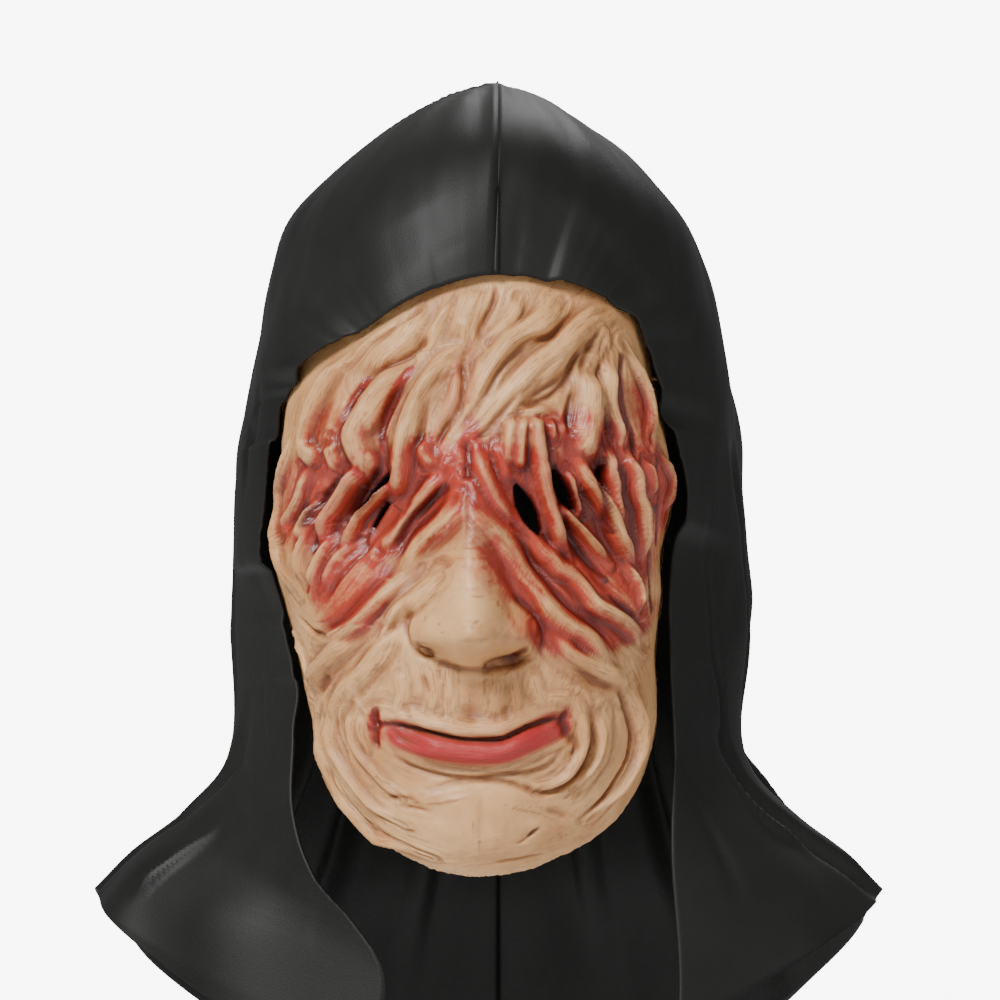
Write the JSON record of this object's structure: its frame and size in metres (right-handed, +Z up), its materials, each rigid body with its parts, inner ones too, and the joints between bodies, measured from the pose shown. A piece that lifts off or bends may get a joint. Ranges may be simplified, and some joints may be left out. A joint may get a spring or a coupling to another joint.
{
  "type": "melted face mask with its hood",
  "caption": "Worn full-face latex mask of melted strands without eyes, fastened round its rim to a black cloth hood that drapes over head, neck and shoulders.",
  "frame": {"origin": "inside of the hood's crown, where it rests on the top of a head", "axes": "+Z up, the face looks along -Y, +X is the wearer's left"},
  "size_m": [0.3435, 0.2849, 0.4502],
  "materials": {
    "latex": "satin, painted skin with brown and red washes",
    "hood_cloth": "soft satin cloth"
  },
  "bodies": {
    "root": {"face_mask": "latex", "hood_right": "hood_cloth", "hood_left": "hood_cloth"}
  },
  "joints": []
}
